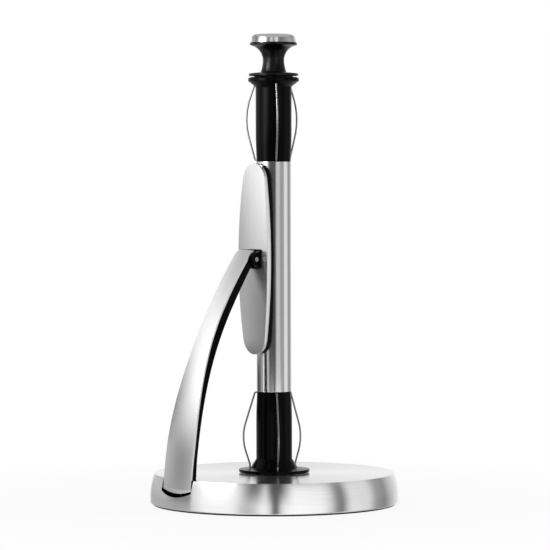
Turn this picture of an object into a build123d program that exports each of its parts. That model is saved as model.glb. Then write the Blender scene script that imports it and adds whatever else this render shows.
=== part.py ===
from build123d import *
import math
import os

os.makedirs("parts", exist_ok=True)

# A paper towel holder. Millimetres, +Z up, the floor at zero and the post on the Z axis.
# The arm stands on the -X side, so "reach" is a distance from the post's axis towards -X.

# Fits that several pieces share
running_gap = 0.06  # radial room of a shaft or pin that turns in its bore
seat_gap = 0.1  # room round a piece that is fixed in its seat
body_gap = 0.4  # room between pieces that move past each other

# Base: shell, plate, weight and foot
base_radius = 95.0
base_height = 23.9
shell_wall = 1.2
wall_bow = 3.3  # how far the wall leans in from its widest line to the shoulder
widest_height = 6.5
shoulder_fillet = 1.8
rim_fillet = 1.2
rim_return = 2.8  # width of the lower rim that is rolled inwards
foot_height = 1.2
foot_inset = 2.2
foot_width = 9.0
plate_thickness = 1.5
weight_thickness = 8.0
weight_inset = 2.0
boss_radius = 20.0
screw_circle = 62.0
screw_count = 4
screw_radius = 2.0
screw_head_radius = 3.4
screw_length = 7.0

# Centre rod and what clamps it
rod_radius = 4.0
collar_radius = 7.5
collar_height = 1.5
nut_width = 13.0  # across the flats
nut_height = 6.5
nut_room_depth = 12.0
rod_washer_radius = 9.5
rod_washer_height = 1.6
thrust_washer_height = 0.8

# Turning post: tube, sleeves, bushes and wires
tube_radius = 13.3
tube_wall = 1.0
tube_length = 175.8
spigot_length = 12.0
bush_wall = 2.4
bush_length = 14.0
sleeve_wide_radius = 13.75
sleeve_end_radius = 13.05
sleeve_taper = 17.0  # length over which a sleeve narrows towards the tube
flange_gap = 0.6  # daylight between the lower flange and the base
lower_sleeve_height = 61.8
lower_flange_radius = 27.1
lower_flange_rim = 2.05
lower_flange_undercut = 0.8
lower_undercut_height = 0.15
lower_wire_floor = 0.5  # plastic left under the feet of the lower wires
lower_flange_rise = 1.0
lower_cone_foot = 18.0
lower_cone_height = 7.0
upper_sleeve_height = 64.5
upper_flange_radius = 19.5
upper_flange_rim = 2.2
upper_flange_chamfer = 1.9
upper_cone_height = 4.4
upper_cone_bottom = 7.4  # from the flange's top down to where its cone meets the sleeve
wire_radius = 0.7
wire_count = 3
wire_turn = 0.5  # the first wire stands this far round from +X
hook_depth = 2.2  # how deep a wire's hooked end sits in its sleeve
hook_drop = 1.1  # from the tube's end to the hooked wire
hook_bend = 1.3
lower_hook_reach = 15.9
lower_bow_reach = 27.5
lower_bow_drop = 36.2  # from the tube's lower end to the widest point of the lower wires
lower_bow_bend = 34.0
lower_foot_reach = 20.3
lower_foot_rise = 2.2  # the wire stands upright this far above the cone's foot
lower_foot_bend = 5.0
upper_hook_reach = 15.4
upper_bow_reach = 24.8
upper_bow_rise = 33.9  # from the tube's upper end to the widest point of the upper wires
upper_bow_bend = 48.0
upper_top_reach = 16.0
upper_top_drop = 6.6
upper_top_bend = 6.0
wire_seat = 1.9  # from the upper flange's top to the wires' ends

# Knob
knob_gap = 0.4
knob_boss_radius = 15.0
knob_boss_height = 0.5
knob_disc_radius = 18.9
knob_disc_height = 1.9
knob_disc_dome = 1.1
knob_disc_fillet = 0.5
knob_foot_radius = 9.9
knob_neck_radius = 8.15
knob_neck_height = 12.9
knob_flare_radius = 14.9
knob_flare_height = 23.1
knob_rim_radius = 18.0
knob_rim_height = 1.75
knob_height = 25.85
insert_wall = 2.0
insert_length = 16.0
cap_radius = 17.6
cap_height = 7.05
cap_side_height = 3.4
cap_side_lean = 0.75
cap_top_radius = 13.6
cap_dome = 0.6
cap_wall = 1.2
cap_plug_height = 3.0

# Pressure pad
pad_gap = 0.3  # room between the pad and the bare tube
pad_level = 188.0
pad_half_width = 18.3
pad_half_length = 72.8
pad_end_radius = 13.8
pad_back_depth = 2.9  # the black strip that shows behind the steel
pad_depth = 7.3
pad_crown_length = 1400.0
pad_crown_width = 230.0
pad_edge_fillet = 2.0
pad_face_wall = 1.0
pad_back_inset = 0.5
pin_standoff = 3.8  # from the middle of the pad's face to the pin
pad_pin_radius = 1.4
pad_pin_head_radius = 1.7
pad_pin_head_height = 0.6
cheek_half_span = 11.3
cheek_thickness = 4.0
cheek_nose_radius = 5.0
clevis_half_height = 6.4
clevis_depth = 3.2
pad_screw_radius = 1.5
pad_screw_head_radius = 2.6
pad_screw_recess = 0.5
pad_screw_depth = 2.2
pad_screw_spread = 7.0

# Sprung arm
arm_inset = 1.8  # the arm's outer face at the foot lies this far inside the base's edge
arm_foot_level = 14.4
arm_bow = 332.0
arm_crown = 97.0
arm_foot_half_width = 17.6
arm_tip_half_width = 9.4
arm_taper_start = 42.0
arm_taper_end = 150.0
arm_foot_corner = 15.6
arm_foot_bottom = 13.1
arm_skin_wall = 1.3
arm_core_foot_depth = 6.0
arm_core_waist_depth = 4.4
arm_core_waist_place = 0.25  # share of the way from the foot to the tip
arm_core_belly_depth = 6.5
arm_core_belly_place = 0.65
arm_core_tip_depth = 5.5
arm_core_inset = 0.4
foot_curl_radius = 7.0
foot_curl_angle = 40.0
foot_curl_level = 17.3
tip_cover_reach = 7.7  # the skin's outer face near the pin, out from the pin and up
tip_cover_rise = 1.3
tip_fold_rise = 5.0
tip_fold_radius = 4.0
tip_fold_angle = 38.0
tip_fold_length = 1.6
knuckle_radius = 7.2
knuckle_flat = 3.4  # from the pin to the knuckle's side that faces the pad
arm_swing = 24.0  # degrees
hinge_inset = 7.7  # from the base's edge in to the hinge pin
hinge_level = 16.0
hinge_pin_radius = 1.5
hub_radius = 4.2

# Slot in the base, the housing behind it and the spring
slot_side_gap = 1.4
slot_bottom = 10.6
slot_corner = 14.4
slot_depth = 10.4  # from the base's edge in to the end of the slot
slot_inner_fillet = 2.5
housing_wall = 2.8
housing_floor = 8.5
housing_hub_gap = 1.0
spring_half_length = 5.0
spring_wire = 0.9
spring_leg_radius = 0.35

# Heights and radii that follow from the stack of pieces
shell_ceiling = base_height - shell_wall
plate_top = foot_height + plate_thickness
weight_top = plate_top + weight_thickness
collar_top = base_height + collar_height
thrust_top = collar_top + thrust_washer_height
flange_bottom = base_height + flange_gap
tube_bottom = flange_bottom + lower_sleeve_height
tube_top = tube_bottom + tube_length
upper_top = tube_top + upper_sleeve_height
knob_bottom = upper_top + knob_gap
knob_top = knob_bottom + knob_height
bush_radius = rod_radius + running_gap + bush_wall
sleeve_bore = bush_radius + seat_gap
spigot_radius = tube_radius - tube_wall - seat_gap
insert_radius = rod_radius + seat_gap + insert_wall
cap_bore = cap_radius - cap_side_lean - cap_wall

# Places of the pad and the arm, as (reach, height)
pad_contact = tube_radius + pad_gap
pad_rim = pad_contact + pad_back_depth
pad_front = pad_contact + pad_depth
clevis_seat = pad_front - clevis_depth
cheek_inner = cheek_half_span - cheek_thickness
pin_spot = (pad_front + pin_standoff, pad_level)
hinge_reach = base_radius - hinge_inset
hinge_spot = (hinge_reach, hinge_level)
slot_inner_reach = base_radius - slot_depth
slot_half_width = arm_foot_half_width + slot_side_gap
housing_half_width = slot_half_width + housing_wall
cavity_back = hinge_reach - hub_radius - housing_hub_gap
housing_back = cavity_back - housing_wall
coil_bore = hinge_pin_radius + body_gap
coil_radius = coil_bore + spring_wire

# The arm's outer face is one arc through a point at the foot and a point beside the pin
arm_foot = (base_radius - arm_inset, arm_foot_level)
arm_tip = (pin_spot[0] + tip_cover_reach, pin_spot[1] + tip_cover_rise)
arm_chord = math.dist(arm_foot, arm_tip)
chord_to_centre = math.sqrt(arm_bow**2 - (arm_chord / 2) ** 2)
bow_centre = (
    (arm_foot[0] + arm_tip[0]) / 2 - chord_to_centre * (arm_tip[1] - arm_foot[1]) / arm_chord,
    (arm_foot[1] + arm_tip[1]) / 2 - chord_to_centre * (arm_foot[0] - arm_tip[0]) / arm_chord,
)
upright = (Align.CENTER, Align.CENTER, Align.MIN)


def at(reach, height):
    """A point of the arm's plane, in the coordinates of Plane.XZ."""
    return (-reach, height)


def bow_angle(height):
    """The angle about the bow's centre at which the outer face passes a height."""
    return math.degrees(math.asin((height - bow_centre[1]) / arm_bow))


def on_bow(radius, angle):
    """A point at a radius and an angle about the bow's centre."""
    turn = math.radians(angle)
    return at(bow_centre[0] + radius * math.cos(turn), bow_centre[1] + radius * math.sin(turn))


def round_bow(centre, radius, start, end):
    """An arc about a point of the arm's plane, from one angle to another as the bow counts them."""
    spots = []
    for angle in (start, (start + end) / 2, end):
        turn = math.radians(angle)
        spots.append((centre[0] - radius * math.cos(turn), centre[1] + radius * math.sin(turn)))
    return ThreePointArc(*spots)


def shell_cavity(inset):
    """Half section of the room inside the shell, drawn in by an inset at the wall."""
    wall = base_radius - shell_wall - inset
    opening = base_radius - rim_return - inset
    with BuildSketch(Plane.XZ) as half:
        with BuildLine():
            side = Line((wall, plate_top), (wall, widest_height))
            bowed = TangentArc(side @ 1, (wall - wall_bow, shell_ceiling), tangent=side % 1)
            Polyline(bowed @ 1, (0, shell_ceiling), (0, foot_height), (opening, foot_height))
            Polyline((opening, foot_height), (opening, plate_top), side @ 0)
        make_face()
    return half.sketch


def arm_front(inset):
    """The arm seen from the front: bowed foot, straight lower sides and a waisted taper to the tip."""
    foot = arm_foot_half_width - inset
    tip = arm_tip_half_width - inset
    top = pad_level + 3 * tip_fold_rise
    with BuildSketch(Plane.YZ) as front:
        with BuildLine():
            end = ThreePointArc((-foot, arm_foot_corner), (0, arm_foot_bottom), (foot, arm_foot_corner))
            side = Line(end @ 1, (foot, arm_taper_start))
            taper = Spline(side @ 1, (tip, arm_taper_end), tangents=((0, 1), (0, 1)))
            upper = Line(taper @ 1, (tip, top))
            for edge in (side, taper, upper):
                mirror(edge, about=Plane.YZ)
            Line((tip, top), (-tip, top))
        make_face()
    return front.sketch


def arm_outer_line():
    """The path of the arm's outer face: curled foot, long bow, fold over the tip."""
    start = bow_angle(foot_curl_level)
    end = bow_angle(pin_spot[1] + tip_fold_rise)
    curl_centre = on_bow(arm_bow - foot_curl_radius, start)
    fold_centre = on_bow(arm_bow - tip_fold_radius, end)
    with BuildLine(Plane.XZ) as path:
        round_bow(curl_centre, foot_curl_radius, start - foot_curl_angle, start)
        round_bow(at(*bow_centre), arm_bow, start, end)
        round_bow(fold_centre, tip_fold_radius, end, end + tip_fold_angle)
    return path.line


def crowned_band(top, bottom):
    """A band along the arm's outer line, crowned across, between two depths below that line."""
    path = arm_outer_line()
    half = arm_foot_half_width + 1
    fall = arm_crown - math.sqrt(arm_crown**2 - half**2)
    with BuildPart() as band:
        with BuildSketch(Plane(path @ 0, x_dir=(0, 1, 0), z_dir=path % 0)):
            with BuildLine():
                upper = ThreePointArc((-half, -top - fall), (0, -top), (half, -top - fall))
                lower = ThreePointArc((half, -bottom - fall), (0, -bottom), (-half, -bottom - fall))
                Line(upper @ 1, lower @ 0)
                Line(lower @ 1, upper @ 0)
            make_face()
        sweep(path=path)
        extrude(band.faces().filter_by(GeomType.PLANE).sort_by(Axis.Z)[-1], amount=tip_fold_length)
    return band.part


def pad_outline(inset, reach):
    """The pad seen from the front, at a reach: two long side arcs that run into two round ends."""
    width = pad_half_width - inset
    length = pad_half_length - inset
    end = pad_end_radius - inset
    end_centre = length - end
    side_radius = (end_centre**2 + width**2 - end**2) / (2 * (width - end))
    lean = math.asin(end_centre / (side_radius - end))
    join = (end * math.cos(lean), end_centre + end * math.sin(lean))
    with BuildSketch(Plane((-reach, 0, pad_level), x_dir=(0, 1, 0), z_dir=(1, 0, 0))) as outline:
        with BuildLine():
            side = ThreePointArc((join[0], -join[1]), (width, 0), join)
            ThreePointArc(side @ 1, (0, length), (-join[0], join[1]))
            mirror(side, about=Plane.YZ)
            ThreePointArc((-join[0], -join[1]), (0, -length), side @ 0)
        make_face()
    return outline.sketch


def pad_crown(depth):
    """A wide block under the pad's front, crowned across and along, a depth below that front."""
    half = pad_half_width + 1
    fall = pad_crown_width - math.sqrt(pad_crown_width**2 - half**2)
    front = pad_crown_length - depth
    back = pad_crown_length - pad_front
    span = 1.1 * pad_half_length / pad_crown_length
    hub = Vector(back, 0, pad_level)
    start_plane = Plane(
        hub, x_dir=(-math.cos(span), 0, -math.sin(span)), z_dir=(math.sin(span), 0, -math.cos(span))
    )
    with BuildPart() as crown:
        with BuildSketch(start_plane):
            with BuildLine():
                face = ThreePointArc((front - fall, -half), (front, 0), (front - fall, half))
                Polyline(face @ 1, (back, half), (back, -half), face @ 0)
            make_face()
        revolve(axis=Axis(hub, (0, 1, 0)), revolution_arc=2 * math.degrees(span))
    return crown.part


def wire_plane(number):
    """The upright plane of one wire, with the post's axis as its local Y."""
    turn = math.radians(wire_turn + 360 / wire_count * number)
    outward = Vector(math.cos(turn), math.sin(turn), 0)
    return Plane((0, 0, 0), x_dir=outward, z_dir=outward.cross(Vector(0, 0, 1)))


def wire_holes(reach, height, along_post):
    """Places of the wires' end holes in a sleeve, along the post or out from it."""
    spots = []
    for number in range(wire_count):
        plane = wire_plane(number)
        direction = Vector(0, 0, 1) if along_post else plane.x_dir
        spots.append(Plane(plane.x_dir * reach + Vector(0, 0, height), z_dir=direction).location)
    return spots


# Cutter for the arm's slot: bowed at the bottom from outside, rounded at its inner end from above
with BuildPart() as slot_cutter:
    with BuildSketch(Plane.YZ):
        with BuildLine():
            sill = ThreePointArc(
                (-slot_half_width, slot_corner), (0, slot_bottom), (slot_half_width, slot_corner)
            )
            Polyline(
                sill @ 1, (slot_half_width, base_height + 1), (-slot_half_width, base_height + 1), sill @ 0
            )
        make_face()
    extrude(amount=-2 * base_radius)
    with BuildSketch():
        with Locations((-slot_inner_reach, 0)):
            RectangleRounded(
                base_radius, 2 * slot_half_width, slot_inner_fillet, align=(Align.MAX, Align.CENTER)
            )
    extrude(amount=base_height + 1, mode=Mode.INTERSECT)

# Base shell: drawn steel cover with a bowed wall, a rounded shoulder and the slot
with BuildPart() as base_shell:
    with BuildSketch(Plane.XZ):
        with BuildLine():
            wall_line = Line((base_radius, foot_height), (base_radius, widest_height))
            shoulder = (base_radius - wall_bow, base_height)
            wall_arc = TangentArc(wall_line @ 1, shoulder, tangent=wall_line % 1)
            Polyline(wall_arc @ 1, (0, base_height), (0, foot_height), wall_line @ 0)
        make_face()
    revolve(axis=Axis.Z)
    fillet(base_shell.edges().filter_by(GeomType.CIRCLE).sort_by(Axis.Z)[-1], shoulder_fillet)
    fillet(base_shell.edges().filter_by(GeomType.CIRCLE).sort_by(Axis.Z)[0], rim_fillet)
    revolve(shell_cavity(0), axis=Axis.Z, mode=Mode.SUBTRACT)
    with Locations((0, 0, base_height)):
        Hole(rod_radius + seat_gap)
    add(slot_cutter.part, mode=Mode.SUBTRACT)

# Base plate: sheet that closes the base, with countersunk holes
with BuildPart() as base_plate:
    with BuildSketch(Plane.XY.offset(foot_height)):
        Circle(base_radius - rim_return - seat_gap)
    extrude(amount=plate_thickness)
    with Locations(Plane.XY.offset(foot_height).rotated((180, 0, 0))):
        with PolarLocations(screw_circle, screw_count):
            CounterSinkHole(screw_radius + seat_gap, screw_head_radius + seat_gap, counter_sink_angle=90)

# Base weight: cast disc with a boss round the rod, open where the arm's housing stands
with BuildPart() as base_weight:
    with BuildSketch(Plane.XY.offset(plate_top)):
        Circle(base_radius - rim_return - weight_inset)
    extrude(amount=weight_thickness)
    with BuildSketch(Plane.XY.offset(weight_top)):
        Circle(boss_radius)
    extrude(amount=shell_ceiling - weight_top)
    with Locations(Plane.XY.offset(plate_top).rotated((180, 0, 0))):
        CounterBoreHole(rod_radius + seat_gap, rod_washer_radius + body_gap, nut_room_depth)
        with PolarLocations(screw_circle, screw_count):
            Hole(screw_radius + seat_gap, depth=screw_length)
    with BuildSketch(Plane.XY.offset(plate_top)):
        with Locations((-housing_back + seat_gap, 0)):
            Rectangle(base_radius, 2 * (housing_half_width + seat_gap), align=(Align.MAX, Align.CENTER))
    extrude(amount=base_height, mode=Mode.SUBTRACT)

# Foot ring: rubber strip under the plate and the rolled rim
with BuildPart() as foot_ring:
    with BuildSketch():
        Circle(base_radius - foot_inset)
        Circle(base_radius - foot_inset - foot_width, mode=Mode.SUBTRACT)
    extrude(amount=foot_height)

# Base screws: countersunk, up through the plate into the weight
with BuildPart() as base_screws:
    with Locations((0, 0, foot_height)):
        with PolarLocations(screw_circle, screw_count):
            Cylinder(screw_radius, screw_length, align=upright)
            Cone(screw_head_radius, screw_radius, screw_head_radius - screw_radius, align=upright)

# Arm housing: moulded well behind the slot, clamped between the plate and the shell
with BuildPart() as arm_housing:
    revolve(shell_cavity(body_gap), axis=Axis.Z)
    with BuildSketch(Plane.XY.offset(plate_top)):
        with Locations((-housing_back, 0)):
            Rectangle(base_radius, 2 * housing_half_width, align=(Align.MAX, Align.CENTER))
    extrude(amount=shell_ceiling - plate_top, mode=Mode.INTERSECT)
    with BuildSketch(Plane.XY.offset(housing_floor)):
        with Locations((-cavity_back, 0)):
            Rectangle(base_radius, 2 * slot_half_width, align=(Align.MAX, Align.CENTER))
    extrude(amount=base_height, mode=Mode.SUBTRACT)
    with BuildSketch(Plane.XZ):
        with Locations(at(*hinge_spot)):
            Circle(hinge_pin_radius + running_gap)
    extrude(amount=base_radius, both=True, mode=Mode.SUBTRACT)

# Arm hinge pin: steel, across the housing
with BuildPart() as arm_hinge_pin:
    with BuildSketch(Plane.XZ):
        with Locations(at(*hinge_spot)):
            Circle(hinge_pin_radius)
    extrude(amount=housing_half_width - seat_gap, both=True)
    chamfer(arm_hinge_pin.edges().filter_by(GeomType.CIRCLE), hinge_pin_radius / 5)

# Arm spring: close-wound torsion coil round the hinge pin, with a leg down to the housing's floor
with BuildPart() as arm_spring:
    with BuildSketch(Plane.XZ):
        with Locations(at(*hinge_spot)):
            Circle(coil_radius)
            Circle(coil_bore, mode=Mode.SUBTRACT)
    extrude(amount=spring_half_length, both=True)
    with BuildSketch(Plane.XY.offset(housing_floor + seat_gap)):
        with Locations((coil_bore + spring_wire / 2 - hinge_reach, spring_half_length - spring_wire / 2)):
            Circle(spring_leg_radius)
    extrude(amount=hinge_level - housing_floor - seat_gap)

# Centre rod: fixed steel rod with a collar that stands on the shell
rod_bottom = plate_top + body_gap
with BuildPart() as center_rod:
    with BuildSketch(Plane.XY.offset(rod_bottom)):
        Circle(rod_radius)
    extrude(amount=knob_bottom + insert_length - rod_bottom)
    chamfer(center_rod.edges().filter_by(GeomType.CIRCLE), rod_radius / 8)
    with BuildSketch(Plane.XY.offset(base_height)):
        Circle(collar_radius)
    extrude(amount=collar_height)

# Washer and nut that clamp the rod from below
with BuildPart() as rod_washer:
    with BuildSketch(Plane.XY.offset(plate_top + nut_room_depth)):
        Circle(rod_washer_radius)
        Circle(rod_radius + seat_gap, mode=Mode.SUBTRACT)
    extrude(amount=-rod_washer_height)

with BuildPart() as rod_nut:
    with BuildSketch(Plane.XY.offset(plate_top + nut_room_depth - rod_washer_height)):
        RegularPolygon(nut_width / 2, 6, major_radius=False)
        Circle(rod_radius + seat_gap, mode=Mode.SUBTRACT)
    extrude(amount=-nut_height)

# Thrust washer: lies on the collar and carries the turning post
with BuildPart() as thrust_washer:
    with BuildSketch(Plane.XY.offset(collar_top)):
        Circle(collar_radius)
        Circle(rod_radius + seat_gap, mode=Mode.SUBTRACT)
    extrude(amount=thrust_washer_height)

# Post tube: brushed steel, over the spigots of both sleeves
with BuildPart() as post_tube:
    with BuildSketch(Plane.XY.offset(tube_bottom)):
        Circle(tube_radius)
        Circle(tube_radius - tube_wall, mode=Mode.SUBTRACT)
    extrude(amount=tube_length)

# Lower sleeve: saucer flange, cone, slightly tapered sleeve and a spigot inside the tube
rim_bottom = flange_bottom + lower_undercut_height
rim_top = rim_bottom + lower_flange_rim
cone_foot = rim_top + lower_flange_rise
wire_floor = flange_bottom + lower_wire_floor
bush_bottom = thrust_top + seat_gap
with BuildPart() as lower_sleeve:
    with BuildSketch(Plane.XZ):
        with BuildLine():
            Polyline(
                (sleeve_bore, bush_bottom),
                (collar_radius + body_gap, bush_bottom),
                (collar_radius + body_gap, flange_bottom),
                (lower_flange_radius - lower_flange_undercut, flange_bottom),
                (lower_flange_radius, rim_bottom),
                (lower_flange_radius, rim_top),
                (lower_cone_foot, cone_foot),
                (sleeve_wide_radius, cone_foot + lower_cone_height),
                (sleeve_wide_radius, tube_bottom - sleeve_taper),
                (sleeve_end_radius, tube_bottom),
                (spigot_radius, tube_bottom),
                (spigot_radius, tube_bottom + spigot_length),
                (sleeve_bore, tube_bottom + spigot_length),
                close=True,
            )
        make_face()
    revolve(axis=Axis.Z)
    with Locations(*wire_holes(lower_foot_reach, wire_floor, True)):
        Cylinder(wire_radius + seat_gap, lower_cone_height, align=upright, mode=Mode.SUBTRACT)
    with Locations(*wire_holes(sleeve_end_radius - hook_depth, tube_bottom - hook_drop, False)):
        Cylinder(wire_radius + seat_gap, 2 * hook_depth, align=upright, mode=Mode.SUBTRACT)

# Upper sleeve: the same idea turned over, with a smaller, thicker flange that a roll passes over
cone_start = upper_top - upper_cone_bottom
cone_end = cone_start + upper_cone_height
with BuildPart() as upper_sleeve:
    with BuildSketch(Plane.XZ):
        with BuildLine():
            Polyline(
                (sleeve_bore, tube_top - spigot_length),
                (spigot_radius, tube_top - spigot_length),
                (spigot_radius, tube_top),
                (sleeve_end_radius, tube_top),
                (sleeve_wide_radius, tube_top + sleeve_taper),
                (sleeve_wide_radius, cone_start),
                (upper_flange_radius, cone_end),
                (upper_flange_radius, cone_end + upper_flange_rim),
                (upper_flange_radius - upper_flange_chamfer, upper_top),
                (sleeve_bore, upper_top),
                close=True,
            )
        make_face()
    revolve(axis=Axis.Z)
    upper_seat = upper_cone_bottom - wire_seat
    with Locations(*wire_holes(upper_top_reach, cone_start, True)):
        Cylinder(wire_radius + seat_gap, upper_seat, align=upright, mode=Mode.SUBTRACT)
    with Locations(*wire_holes(sleeve_end_radius - hook_depth, tube_top + hook_drop, False)):
        Cylinder(wire_radius + seat_gap, 2 * hook_depth, align=upright, mode=Mode.SUBTRACT)

# Bushes: plastic bearings of the post on the rod
with BuildPart() as lower_bush:
    with BuildSketch(Plane.XY.offset(bush_bottom)):
        Circle(bush_radius)
        Circle(rod_radius + running_gap, mode=Mode.SUBTRACT)
    extrude(amount=bush_length)

with BuildPart() as upper_bush:
    with BuildSketch(Plane.XY.offset(upper_top)):
        Circle(bush_radius)
        Circle(rod_radius + running_gap, mode=Mode.SUBTRACT)
    extrude(amount=-bush_length)

# Spring wires: each is hooked into its sleeve beside the tube, bows out and stands in a flange
hook_start = sleeve_end_radius - hook_depth + seat_gap
lower_wires = []
upper_wires = []
for number in range(wire_count):
    with BuildPart() as lower_wire:
        with BuildLine(wire_plane(number)) as lower_path:
            FilletPolyline(
                (hook_start, tube_bottom - hook_drop),
                (lower_hook_reach, tube_bottom - hook_drop),
                (lower_bow_reach, tube_bottom - lower_bow_drop),
                (lower_foot_reach, cone_foot + lower_foot_rise),
                (lower_foot_reach, wire_floor + seat_gap),
                radius=[hook_bend, lower_bow_bend, lower_foot_bend],
            )
        with BuildSketch(Plane(lower_path.line @ 0, z_dir=lower_path.line % 0)):
            Circle(wire_radius)
        sweep(path=lower_path.line)
    lower_wires.append(lower_wire)
    with BuildPart() as upper_wire:
        with BuildLine(wire_plane(number)) as upper_path:
            FilletPolyline(
                (hook_start, tube_top + hook_drop),
                (upper_hook_reach, tube_top + hook_drop),
                (upper_bow_reach, tube_top + upper_bow_rise),
                (upper_top_reach, upper_top - upper_top_drop),
                (upper_top_reach, upper_top - wire_seat - seat_gap),
                radius=[hook_bend, upper_bow_bend, upper_top_bend],
            )
        with BuildSketch(Plane(upper_path.line @ 0, z_dir=upper_path.line % 0)):
            Circle(wire_radius)
        sweep(path=upper_path.line)
    upper_wires.append(upper_wire)

# Knob: waisted grip on a thin disc, with a plug that carries the cap
disc_bottom = knob_bottom + knob_boss_height
disc_top = disc_bottom + knob_disc_height
waist = (knob_neck_radius, knob_bottom + knob_neck_height)
flare = (knob_flare_radius, knob_bottom + knob_flare_height)
with BuildPart() as knob:
    with BuildSketch(Plane.XZ):
        with BuildLine():
            foot = Polyline(
                (0, knob_bottom),
                (knob_boss_radius, knob_bottom),
                (knob_boss_radius, disc_bottom),
                (knob_disc_radius, disc_bottom),
                (knob_disc_radius, disc_top),
                (knob_foot_radius, disc_top + knob_disc_dome),
            )
            TangentArc(waist, foot @ 1, tangent=(0, -1))
            TangentArc(waist, flare, tangent=(0, 1))
            Polyline(
                flare,
                (knob_rim_radius, knob_top - knob_rim_height),
                (knob_rim_radius, knob_top),
                (cap_bore - seat_gap, knob_top),
                (cap_bore - seat_gap, knob_top + cap_plug_height),
                (0, knob_top + cap_plug_height),
                (0, knob_bottom),
            )
        make_face()
    revolve(axis=Axis.Z)
    disc_edges = knob.edges().filter_by(GeomType.CIRCLE)
    disc_edges = disc_edges.filter_by(lambda edge: abs(edge.radius - knob_disc_radius) < seat_gap)
    fillet(disc_edges, knob_disc_fillet)
    with Locations((0, 0, knob_bottom)):
        Cylinder(insert_radius + seat_gap, insert_length + body_gap, align=upright, mode=Mode.SUBTRACT)

# Knob insert: brass, screwed on the rod's top
with BuildPart() as knob_insert:
    with BuildSketch(Plane.XY.offset(knob_bottom)):
        Circle(insert_radius)
        Circle(rod_radius + seat_gap, mode=Mode.SUBTRACT)
    extrude(amount=insert_length)

# Knob cap: drawn steel, domed, over the knob's plug
cap_top = knob_top + cap_height
with BuildPart() as knob_cap:
    with BuildSketch(Plane.XZ):
        with BuildLine():
            side = Line((cap_radius, knob_top), (cap_radius - cap_side_lean, knob_top + cap_side_height))
            bend = TangentArc(side @ 1, (cap_top_radius, cap_top - cap_dome), tangent=side % 1)
            dome = TangentArc((0, cap_top), bend @ 1, tangent=(1, 0))
            Polyline(dome @ 0, (0, knob_top), side @ 0)
        make_face()
    revolve(axis=Axis.Z)
    with Locations((0, 0, knob_top)):
        Cylinder(cap_bore, cap_plug_height + seat_gap, align=upright, mode=Mode.SUBTRACT)

# Arm skin: bowed steel strip, crowned across, curled in at the foot and folded over the tip
with BuildPart() as arm_skin:
    add(crowned_band(0, arm_skin_wall))
    extrude(arm_front(0), amount=-2 * base_radius, mode=Mode.INTERSECT)

# Arm core: moulded strip behind the skin, with a knuckle on the pad's pin and hubs on the hinge pin
core_front = arm_bow - arm_skin_wall
foot_turn = bow_angle(arm_foot_bottom)
tip_turn = bow_angle(pin_spot[1] + tip_fold_rise)
middle_turn = (foot_turn + tip_turn) / 2
waist_turn = foot_turn + (tip_turn - foot_turn) * arm_core_waist_place
belly_turn = foot_turn + (tip_turn - foot_turn) * arm_core_belly_place
knuckle_half_width = cheek_inner - body_gap
notch_half_width = spring_half_length + body_gap
with BuildPart() as arm_core:
    with BuildSketch(Plane.XZ):
        with BuildLine():
            front = ThreePointArc(
                on_bow(core_front, foot_turn),
                on_bow(core_front, middle_turn),
                on_bow(core_front, tip_turn),
            )
            back = Spline(
                on_bow(core_front - arm_core_tip_depth, tip_turn),
                on_bow(core_front - arm_core_belly_depth, belly_turn),
                on_bow(core_front - arm_core_waist_depth, waist_turn),
                on_bow(core_front - arm_core_foot_depth, foot_turn),
            )
            Line(front @ 1, back @ 0)
            Line(back @ 1, front @ 0)
        make_face()
    extrude(amount=arm_foot_half_width, both=True)
    extrude(arm_front(arm_core_inset), amount=-2 * base_radius, mode=Mode.INTERSECT)
    # Room for the clevis cheeks beside the knuckle, and a hub on each side of the spring
    for side in (1, -1):
        with BuildSketch(Plane.XZ.offset(side * knuckle_half_width)):
            with Locations(at(*pin_spot)):
                Circle(cheek_nose_radius + body_gap)
        extrude(amount=side * arm_foot_half_width, mode=Mode.SUBTRACT)
        with BuildSketch(Plane.XZ.offset(side * notch_half_width)):
            with Locations(at(*hinge_spot)):
                Circle(hub_radius)
        extrude(amount=side * (arm_foot_half_width - arm_core_inset - notch_half_width))
    # The knuckle has flats that clear the pad's face with the arm at rest and swung out
    with BuildSketch(Plane.XZ):
        with Locations(at(*pin_spot)):
            Circle(knuckle_radius)
        for turn in (0, -arm_swing):
            with Locations(Location((-pin_spot[0], pin_spot[1], 0), (0, 0, turn))):
                with Locations((knuckle_flat + knuckle_radius, 0)):
                    Rectangle(2 * knuckle_radius, 4 * knuckle_radius, mode=Mode.SUBTRACT)
    extrude(amount=knuckle_half_width, both=True)
    with BuildSketch(Plane.XZ):
        with Locations(at(*hinge_spot)):
            Circle(coil_radius + body_gap)
    extrude(amount=notch_half_width, both=True, mode=Mode.SUBTRACT)
    with BuildSketch(Plane.XZ):
        with Locations(at(*hinge_spot)):
            Circle(hinge_pin_radius + running_gap)
        with Locations(at(*pin_spot)):
            Circle(pad_pin_radius + running_gap)
    extrude(amount=base_radius, both=True, mode=Mode.SUBTRACT)
    add(crowned_band(-2 * knuckle_radius, arm_skin_wall + seat_gap), mode=Mode.SUBTRACT)

# Room inside the pad's steel cover
with BuildPart() as pad_room:
    extrude(pad_outline(pad_face_wall, pad_contact), amount=-2 * pad_depth)
    add(pad_crown(pad_face_wall), mode=Mode.INTERSECT)

# Pad face: tall oval steel cover, crowned both ways, with a window for the clevis
window_width = 2 * (cheek_half_span + seat_gap)
window_height = 2 * (clevis_half_height + seat_gap)
with BuildPart() as pad_face:
    extrude(pad_outline(0, pad_rim), amount=-2 * pad_depth)
    add(pad_crown(0), mode=Mode.INTERSECT)
    fillet(pad_face.faces().sort_by(Axis.X)[0].edges(), pad_edge_fillet)
    add(pad_room.part, mode=Mode.SUBTRACT)
    with Locations((-pad_front, 0, pad_level)):
        Box(2 * pad_depth, window_width, window_height, mode=Mode.SUBTRACT)

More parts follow.
